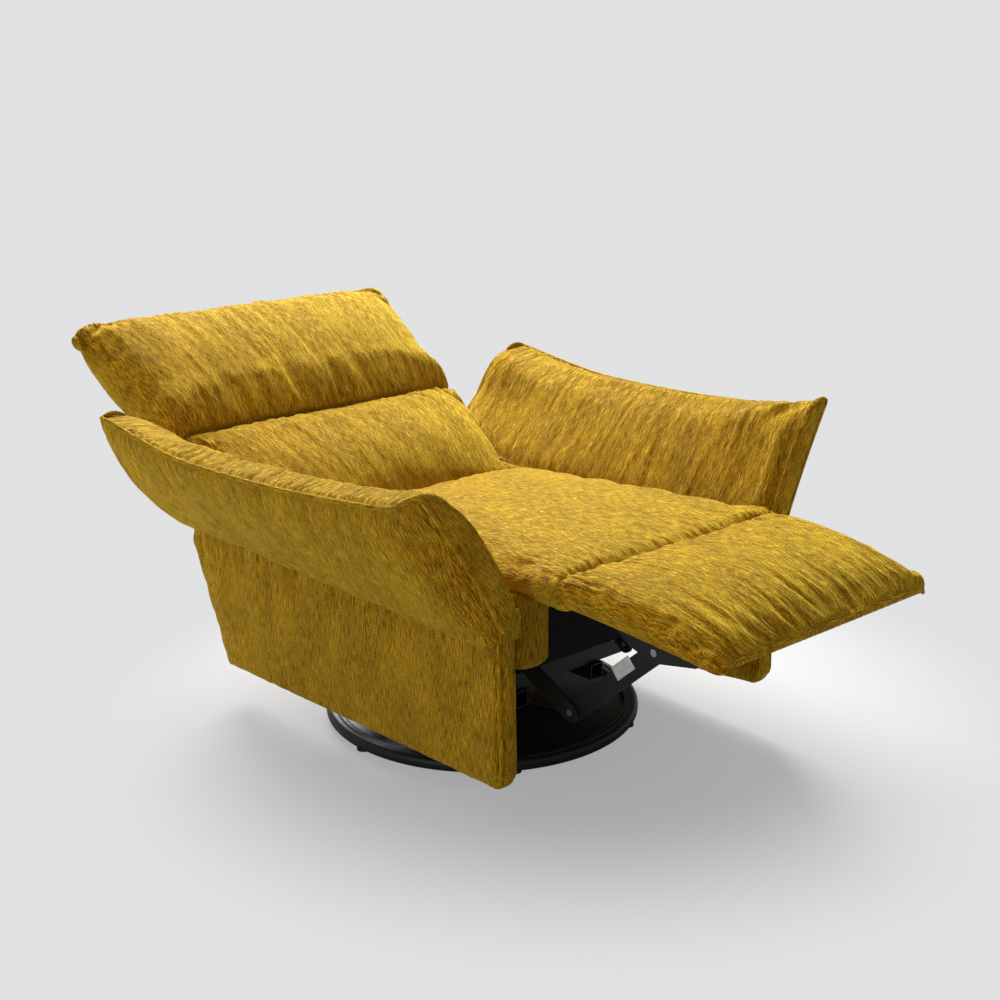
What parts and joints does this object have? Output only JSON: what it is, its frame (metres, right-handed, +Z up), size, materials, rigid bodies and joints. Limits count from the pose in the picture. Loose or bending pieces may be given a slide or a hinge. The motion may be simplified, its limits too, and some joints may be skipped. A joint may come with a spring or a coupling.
{
  "type": "power recliner",
  "caption": "Swivel power recliner in ribbed chenille, reclined with its footrest out: hinged back, folding head section, tilting winged arms and a parallelogram footrest linkage.",
  "frame": {"origin": "on the floor, on the swivel axis, at the centre of the base ring's underside", "axes": "+Z up along the swivel axis; the sitter faces -Y, so the footrest points along -Y and the back leans towards +Y; +X is the sitter's left"},
  "size_m": [1.048, 1.6086, 0.6781],
  "materials": {
    "ochre_chenille": "slubbed velvet chenille over foam",
    "black_lining": "plain woven lining",
    "black_steel": "satin black powder coat",
    "bright_steel": "zinc plated",
    "glide_rubber": "matt",
    "black_plastic": "moulded, matt",
    "grey_plastic": "moulded, matt",
    "timber": "bare, hidden under the cover"
  },
  "bodies": {
    "base": {"base_ring": "black_steel", "floor_glides": "glide_rubber", "base_plate": "black_steel", "base_column": "black_steel", "swivel_race": "black_steel", "slide_ring": "black_plastic"},
    "seat_frame": {"swivel_plate": "black_steel", "frame_rail_left": "black_steel", "frame_rail_right": "black_steel", "front_cross_tube": "black_steel", "middle_cross_tube": "black_steel", "rear_cross_tube": "black_steel", "side_plate_left": "black_steel", "side_plate_right": "black_steel", "frame_pins": "bright_steel", "seat_block_left": "ochre_chenille", "seat_block_right": "ochre_chenille", "side_panel_left": "ochre_chenille", "side_panel_right": "ochre_chenille", "panel_spacers": "timber", "front_apron": "black_lining", "deck_rails": "black_steel", "deck_straps": "black_lining", "seat_cushion": "ochre_chenille", "arm_hinge_seats": "bright_steel", "footrest_drive": "black_plastic", "back_drive": "black_plastic", "drive_clevises": "black_steel", "power_supply": "black_plastic"},
    "footrest": {"footrest_cushion": "ochre_chenille", "footrest_board": "black_lining", "footrest_arm_left": "black_steel", "footrest_arm_right": "black_steel", "toe_pins": "bright_steel"},
    "lift_crank": {"lift_crank": "black_steel", "elbow_pins": "bright_steel"},
    "lift_links": {"lift_link_left": "black_steel", "lift_link_right": "black_steel"},
    "footrest_rod": {"footrest_drive_rod": "bright_steel"},
    "backrest": {"lumbar_cushion": "ochre_chenille", "back_cover": "ochre_chenille", "back_frame": "black_steel", "crease_pins": "bright_steel"},
    "headrest": {"head_cushion": "ochre_chenille", "head_cover": "ochre_chenille", "head_frame": "black_steel"},
    "back_rod": {"back_drive_rod": "bright_steel"},
    "arm_left": {"arm_cushion_left": "ochre_chenille", "arm_board_left": "timber", "arm_hinge_leaf_left": "bright_steel"},
    "arm_right": {"arm_cushion_right": "ochre_chenille", "arm_board_right": "timber", "arm_hinge_leaf_right": "bright_steel", "control_strip": "black_plastic"},
    "button_1": {"button_1": "grey_plastic"},
    "button_2": {"button_2": "grey_plastic"},
    "button_3": {"button_3": "grey_plastic"},
    "button_4": {"button_4": "grey_plastic"}
  },
  "joints": [
    {"name": "swivel", "type": "hinge", "parent": "base", "child": "seat_frame", "pos_m": [0, 0, 0.089], "axis": [0, 0, 1], "continuous": true},
    {"name": "footrest_hinge", "type": "hinge", "parent": "seat_frame", "child": "footrest", "pos_m": [0, -0.467, 0.416], "axis": [1, 0, 0], "range_deg": [0, 85]},
    {"name": "crank_hinge", "type": "hinge", "parent": "seat_frame", "child": "lift_crank", "pos_m": [0, -0.287, 0.257], "axis": [1, 0, 0], "range_deg": [0, 85]},
    {"name": "link_hinge", "type": "hinge", "parent": "lift_crank", "child": "lift_links", "pos_m": [0, -0.43, 0.187], "axis": [1, 0, 0], "range_deg": [-85, 0]},
    {"name": "footrest_rod_slide", "type": "slide", "parent": "seat_frame", "child": "footrest_rod", "axis": [0, 1, 0], "range_m": [0, 0.0784]},
    {"name": "backrest_hinge", "type": "hinge", "parent": "seat_frame", "child": "backrest", "pos_m": [0, 0.235, 0.352], "axis": [1, 0, 0], "range_deg": [0, 48]},
    {"name": "back_rod_slide", "type": "slide", "parent": "seat_frame", "child": "back_rod", "axis": [0, 1, 0], "range_m": [0, 0.0618]},
    {"name": "headrest_hinge", "type": "hinge", "parent": "backrest", "child": "headrest", "pos_m": [0, 0.5023, 0.4882], "axis": [1, 0, 0], "range_deg": [0, 25]},
    {"name": "arm_left_hinge", "type": "hinge", "parent": "seat_frame", "child": "arm_left", "pos_m": [0.291, 0, 0.3758], "axis": [0, -1, 0], "range_deg": [0, 20]},
    {"name": "arm_right_hinge", "type": "hinge", "parent": "seat_frame", "child": "arm_right", "pos_m": [-0.291, 0, 0.3758], "axis": [0, 1, 0], "range_deg": [0, 20]},
    {"name": "button_1_press", "type": "slide", "parent": "arm_right", "child": "button_1", "axis": [-0.6921, 0, -0.7218], "range_m": [0, 0.0012], "stiffness_N_per_m": 1200, "springref_m": -0.0005},
    {"name": "button_2_press", "type": "slide", "parent": "arm_right", "child": "button_2", "axis": [-0.6921, 0, -0.7218], "range_m": [0, 0.0012], "stiffness_N_per_m": 1200, "springref_m": -0.0005},
    {"name": "button_3_press", "type": "slide", "parent": "arm_right", "child": "button_3", "axis": [-0.6921, 0, -0.7218], "range_m": [0, 0.0012], "stiffness_N_per_m": 1200, "springref_m": -0.0005},
    {"name": "button_4_press", "type": "slide", "parent": "arm_right", "child": "button_4", "axis": [-0.6921, 0, -0.7218], "range_m": [0, 0.0012], "stiffness_N_per_m": 1200, "springref_m": -0.0005}
  ],
  "couplings": [
    {"joint": "crank_hinge", "follows": "footrest_hinge", "ratio": 1},
    {"joint": "link_hinge", "follows": "footrest_hinge", "ratio": -1},
    {"joint": "footrest_rod_slide", "follows": "footrest_hinge", "m_per_rad": 0.052846},
    {"joint": "back_rod_slide", "follows": "backrest_hinge", "m_per_rad": 0.073768}
  ]
}
